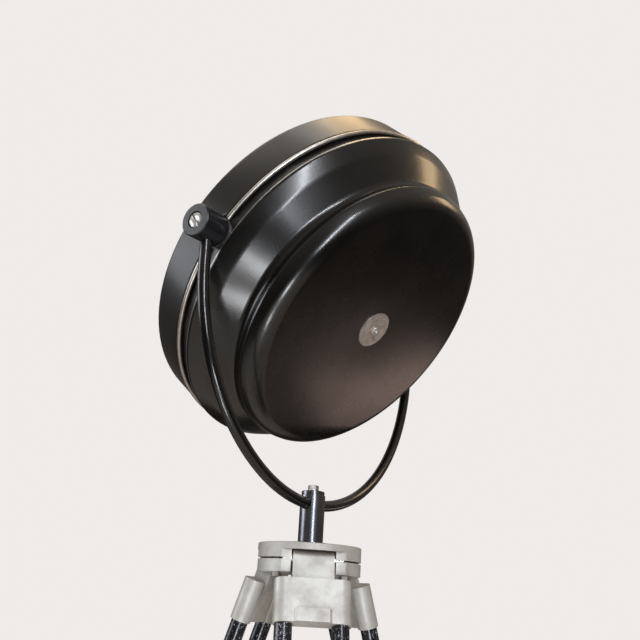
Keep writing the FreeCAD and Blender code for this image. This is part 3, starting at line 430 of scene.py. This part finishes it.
# lengths are millimetres on the real surface
lacquer = {
    "dark": "#0B0A08", "light": "#12100E", "scratch": "#6A665E", "dust": "#8D867A", "bare": "#C9C5BE",
    "smudge": 75, "dustSpacing": 13, "peel": 3.5, "rough": (0.24, 0.32), "coat": 0.35, "coatRough": 0.15,
    "scratchTurns": ((0.3, 0.2, 0.4), (1.2, 0.7, 2.0)), "scratchStretch": (14, 620, 14),
    "hemRadius": (247.6, 248.6), "hemDepth": (25.2, 26.2),
}
zincPlate = {
    "light": "#E6E8EA", "dark": "#C6C2B6", "patch": 6, "grain": 1.6, "rough": (0.34, 0.5), "depth": 0.02,
}
# the brown colour below is painted into the cast parts' hollows by ambient occlusion: painted shade as well as
# grime
casting = {
    "light": "#D0CFC9", "dark": "#B3ADA4", "hollowShadeAndGrime": "#6B5A4E", "pit": "#8A8178", "patch": 30, "grit": 1.2,
    "rough": (0.42, 0.58), "metallic": 0.35,
}
finishes = {
    "shellLacquer": sprayedLacquer("sprayedBlackLacquerShell", lacquer, wornHem=True),
    "drumLacquer": sprayedLacquer(
        "sprayedBlackLacquerDrum", dict(lacquer, light="#1A1613", rough=(0.34, 0.44), coat=0.15)),
    "barLacquer": sprayedLacquer("glossBlackBarLacquer", dict(lacquer, dark="#0C0B0B", rough=(0.2, 0.28))),
    "bossBlack": sprayedLacquer(
        "oxidisedBlackBoss",
        dict(lacquer, dark="#121317", light="#1A1B1F", peel=1.5, rough=(0.3, 0.42), coat=0.15)),
    "bead": workedMetal(
        "wornAluminiumBead",
        {"light": "#DAD6CF", "dark": "#B9B2A8", "patch": 12, "grain": 1.4, "rough": (0.3, 0.45),
         "depth": 0.02}),
    "washer": latheTurnedMetal(
        "turnedZincWasher",
        {"light": "#D2C8BE", "dark": "#9E938A", "pitch": 0.9, "patch": 7, "rough": (0.38, 0.6),
         "depth": 0.02, "metallic": 0.7}),
    "zinc": workedMetal("brightZincPlate", zincPlate),
    "mast": workedMetal(
        "polishedSteelMast",
        {"light": "#85868B", "dark": "#6C6D72", "patch": 40, "grain": 1.2, "rough": (0.2, 0.32),
         "depth": 0.004}, stretch=(1, 1, 0.015)),
    "cast": blastedCasting("blastedCastAluminium", casting),
    "tube": hammerLacquer(
        "blackHammerLacquer",
        {"dark": "#0B0C10", "light": "#1A1C22", "chip": "#B9BDC6", "dimple": 4, "spatter": 2.2,
         "band": 16}),
    "lowerTube": workedMetal(
        "drawnSteelTube",
        {"light": "#9C9C9B", "dark": "#83817D", "patch": 25, "grain": 1.5, "rough": (0.25, 0.4),
         "depth": 0.01}, stretch=(1, 1, 0.08)),
    "spike": workedMetal(
        "hardenedSteelPoint",
        {"light": "#6B6A68", "dark": "#4E4B48", "patch": 8, "grain": 1.2, "rough": (0.3, 0.5),
         "depth": 0.02}),
    "reflector": latheTurnedMetal(
        "brightenedAluminiumReflector",
        {"light": "#DEDEDC", "dark": "#CBCBC8", "pitch": 1.3, "patch": 60, "rough": (0.34, 0.48),
         "depth": 0.008, "metallic": 1.0}),
    "glass": blownGlass("pressedFrontGlass", {"tint": "#F2F6F4", "rough": 0.02, "clear": 1.0}),
    "bulb": blownGlass("frostedBulbGlass", {"tint": "#F7F4EC", "rough": 0.45, "clear": 0.75}),
    "porcelain": mouldedPart(
        "glazedPorcelain", {"light": "#E8E4DA", "dark": "#DAD3C6", "rough": (0.12, 0.2), "ior": 1.55}),
    "capMetal": workedMetal("nickelledBrassCap", dict(zincPlate, light="#C8BB94", dark="#A9996B")),
    "rubber": mouldedPart(
        "blackRubberSeal", {"light": "#1E1D1C", "dark": "#131313", "rough": (0.6, 0.75), "ior": 1.52}),
    "nylon": mouldedPart(
        "mouldedBlackNylon", {"light": "#232325", "dark": "#17171A", "rough": (0.4, 0.5), "ior": 1.53}),
    "fibre": mouldedPart(
        "vulcanisedFibreWasher", {"light": "#2E241E", "dark": "#1D1713", "rough": (0.6, 0.8), "ior": 1.5}),
    "knob": mouldedPart(
        "pressedPhenolicKnob", {"light": "#1E1A17", "dark": "#121110", "rough": (0.22, 0.3), "ior": 1.6}),
    "spring": workedMetal("springSteelClip", dict(zincPlate, light="#A5A6A9", dark="#8B8A88")),
}

nodeFinishes = {
    "rear_shell": "shellLacquer", "front_rim": "drumLacquer", "trim_bead": "bead",
    "carrier_ring": "drumLacquer", "front_glass": "glass", "glass_gasket": "rubber",
    "glass_clips": "spring", "reflector": "reflector", "reflector_screws": "zinc",
    "lampholder": "porcelain", "holder_stem": "zinc", "bulb_cap": "capMetal", "bulb": "bulb",
    "rear_washers": "washer", "rear_screw": "zinc", "cable_gland": "nylon", "gland_nut": "nylon",
    "pivot_bushes": "zinc", "friction_washers": "fibre", "yoke_rod": "barLacquer",
    "pivot_boss_right": "bossBlack", "pivot_boss_left": "bossBlack", "pivot_screws": "zinc",
    "pivot_nuts": "zinc", "mast": "mast", "mast_cap": "mast", "clamp_bolt": "zinc", "tripod_plate": "cast",
    "hinge_caps": "cast", "cap_screws": "zinc", "fixing_washer": "zinc", "centre_screw": "zinc",
    "centre_knob": "knob",
}
legFinishes = {
    "leg_head": "cast", "hinge_pin": "zinc", "leg_tubes": "tube", "lower_clamp": "cast",
    "clamp_screw": "zinc", "lower_leg": "lowerTube", "top_guide": "cast", "foot_shoe": "cast",
    "foot_spike": "spike",
}
for number in (1, 2, 3):
    for node, finish in legFinishes.items():
        nodeFinishes["%s_%d" % (node, number)] = finish
for node, finish in nodeFinishes.items():
    piece = frame["nodes"][node]
    piece.data.materials.clear()
    piece.data.materials.append(finishes[finish])
print("finishes ready")


# ---- modelling helpers
bodyOf = {node: body for body, nodes in frame["record"]["behaviour"]["bodies"].items() for node in nodes}


def only(piece):
    if bpy.context.object and bpy.context.object.mode != "OBJECT":
        bpy.ops.object.mode_set(mode="OBJECT")
    bpy.ops.object.select_all(action="DESELECT")
    if piece is not None:
        piece.select_set(True)
        bpy.context.view_layer.objects.active = piece


def applied(piece, kind, **settings):
    only(piece)
    modifier = piece.modifiers.new(kind.title(), kind)
    for key, value in settings.items():
        setattr(modifier, key, value)
    bpy.ops.object.modifier_apply(modifier=modifier.name)


def fit(piece, finish, nodes, place=None, smooth=35.0):
    # sets a finished piece in its body, in its finish, in place of the nodes it stands for
    only(piece)
    if place is not None:
        piece.matrix_world = place @ piece.matrix_world
    bpy.ops.object.transform_apply(location=True, rotation=True, scale=True)
    bpy.ops.object.shade_smooth_by_angle(angle=math.radians(smooth))
    piece.data.materials.clear()
    piece.data.materials.append(finishes[finish])
    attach(piece, bodyOf[nodes[0]])
    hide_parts(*nodes)


def picked(piece, test):
    # selects the edit-mode vertices that a test on their place allows
    bpy.ops.object.mode_set(mode="OBJECT")
    for vertex in piece.data.vertices:
        vertex.select = bool(test(vertex.co))
    for edge in piece.data.edges:
        edge.select = all(piece.data.vertices[k].select for k in edge.vertices)
    for face in piece.data.polygons:
        face.select = all(piece.data.vertices[k].select for k in face.vertices)
    bpy.ops.object.mode_set(mode="EDIT")


def drawProfile(name, corners):
    # corners are (radius, place along the axis, round) in millimetres
    only(None)
    radius, depth, _ = corners[0]
    bpy.ops.mesh.primitive_plane_add(size=0.001, location=(radius * mm, 0, depth * mm))
    piece = bpy.context.object
    piece.name = name
    bpy.ops.object.transform_apply(location=True)
    bpy.ops.object.mode_set(mode="EDIT")
    bpy.ops.mesh.select_mode(type="VERT")
    bpy.ops.mesh.select_all(action="SELECT")
    bpy.ops.mesh.merge(type="CENTER")
    for here, there in zip(corners, corners[1:]):
        step = ((there[0] - here[0]) * mm, 0, (there[1] - here[1]) * mm)
        bpy.ops.mesh.extrude_region_move(TRANSFORM_OT_translate={"value": step})
    bpy.ops.mesh.select_all(action="SELECT")
    bpy.ops.mesh.remove_doubles(threshold=1e-7)
    for k, (radius, depth, rounding) in enumerate(corners):
        if rounding <= 0:
            continue
        spot = Vector((radius, 0, depth)) * mm
        before = (Vector((corners[k - 1][0], 0, corners[k - 1][1])) * mm - spot).normalized()
        after = (Vector((corners[k + 1][0], 0, corners[k + 1][1])) * mm - spot).normalized()
        picked(piece, lambda place: (place - spot).length < 1e-6)
        half = before.angle(after) / 2
        bends = max(3, round((math.pi - 2 * half) / math.radians(6)))
        bpy.ops.mesh.bevel(affect="VERTICES", offset=rounding * mm / math.tan(half), segments=bends)
    return piece


def spun(name, corners, steps, wall):
    # an open profile turned about the head's axis, then given the thickness of its sheet
    piece = drawProfile(name, corners)
    bpy.ops.mesh.select_all(action="SELECT")
    bpy.ops.mesh.spin(steps=steps, angle=2 * math.pi, center=(0, 0, 0), axis=(0, 0, 1))
    bpy.ops.mesh.select_all(action="SELECT")
    bpy.ops.mesh.remove_doubles(threshold=1e-6)
    bpy.ops.mesh.normals_make_consistent(inside=False)
    bpy.ops.object.mode_set(mode="OBJECT")
    applied(piece, "SOLIDIFY", thickness=wall * mm, offset=-1.0, use_even_offset=True)
    return piece


# ---- spun shell at the back of the head
shellValues = {
    "wall": 1.5,
    "corners": ((244.9, 23.8, 0), (249.4, 23.8, 1.7), (249.4, 29.0, 4.0), (236.0, 47.0, 30.0),
                (203.0, 77.0, 13.0), (210.5, 91.0, 8.0), (201.0, 116.5, 21.0),
                (30.0, 113.4, 20.0), (3.05, 113.4, 0)),
}
fit(spun("spunRearShell", shellValues["corners"], steps=192, wall=shellValues["wall"]), "shellLacquer",
    ["rear_shell"], headFrame)
print("rear shell spun")


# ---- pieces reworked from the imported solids: merged copies, turned or with their edges broken
def copied(name, node):
    source = frame["nodes"][node]
    piece = bpy.data.objects.new(name, source.data.copy())
    bpy.context.scene.collection.objects.link(piece)
    only(piece)
    bpy.ops.object.mode_set(mode="EDIT")
    bpy.ops.mesh.select_mode(type="VERT")
    bpy.ops.mesh.select_all(action="SELECT")
    bpy.ops.mesh.remove_doubles(threshold=1e-6)
    return piece


# angles in degrees; edges above wideEdge, in millimetres, get one more step of rounding
softValues = {"flatAngle": 0.6, "sharpAngle": 38.0, "smoothAngle": 40.0, "wideEdge": 1}


def softened(node, finish, edge):
    # smooth-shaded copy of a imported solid; edge is how far its sharp edges are broken, in millimetres
    piece = copied("soft_" + node, node)
    if edge:
        bpy.ops.mesh.dissolve_limited(angle_limit=math.radians(softValues["flatAngle"]))
        applied(piece, "BEVEL", width=edge * mm, segments=3 if edge > softValues["wideEdge"] else 2,
                limit_method="ANGLE", angle_limit=math.radians(softValues["sharpAngle"]),
                use_clamp_overlap=True)
    fit(piece, finish, [node], smooth=softValues["smoothAngle"])
    applied(piece, "WEIGHTED_NORMAL", keep_sharp=True)   # flat faces shade flat beside their rounded edges


screwValues = {"slotTurn": 80.0}
screws = copied("slottedPivotScrews", "pivot_screws")
bpy.ops.object.mode_set(mode="OBJECT")
slotTurn = Matrix.Rotation(math.radians(screwValues["slotTurn"]), 4, "X")   # about the pivot's own axis
screws.matrix_world = yokeFrame @ slotTurn @ yokeFrame.inverted()
fit(screws, "zinc", ["pivot_screws"])
print("pivot screws turned")

# how far edges are broken, in millimetres: cast edges are rounder than turned ones, and 0 only smooths
edgeValues = {
    "tripod_plate": 1.8, "hinge_caps": 1.4, "leg_head": 1.7, "lower_clamp": 1.2, "top_guide": 0.8,
    "foot_shoe": 1.0, "pivot_boss_left": 0.8, "pivot_boss_right": 0.8, "mast": 0.5, "mast_cap": 0.8,
    "centre_knob": 0.8, "clamp_bolt": 0.4, "rear_washers": 0.4, "lower_leg": 0.5, "yoke_rod": 0,
    "front_rim": 0, "trim_bead": 0, "carrier_ring": 0, "leg_tubes": 0, "reflector": 0, "bulb": 0,
    "foot_spike": 0, "front_glass": 0,
}
for node, finish in nodeFinishes.items():
    kind = node[:-2] if node[-1] in "123" else node
    if kind in edgeValues:
        softened(node, finish, edgeValues[kind])
print("edges softened")
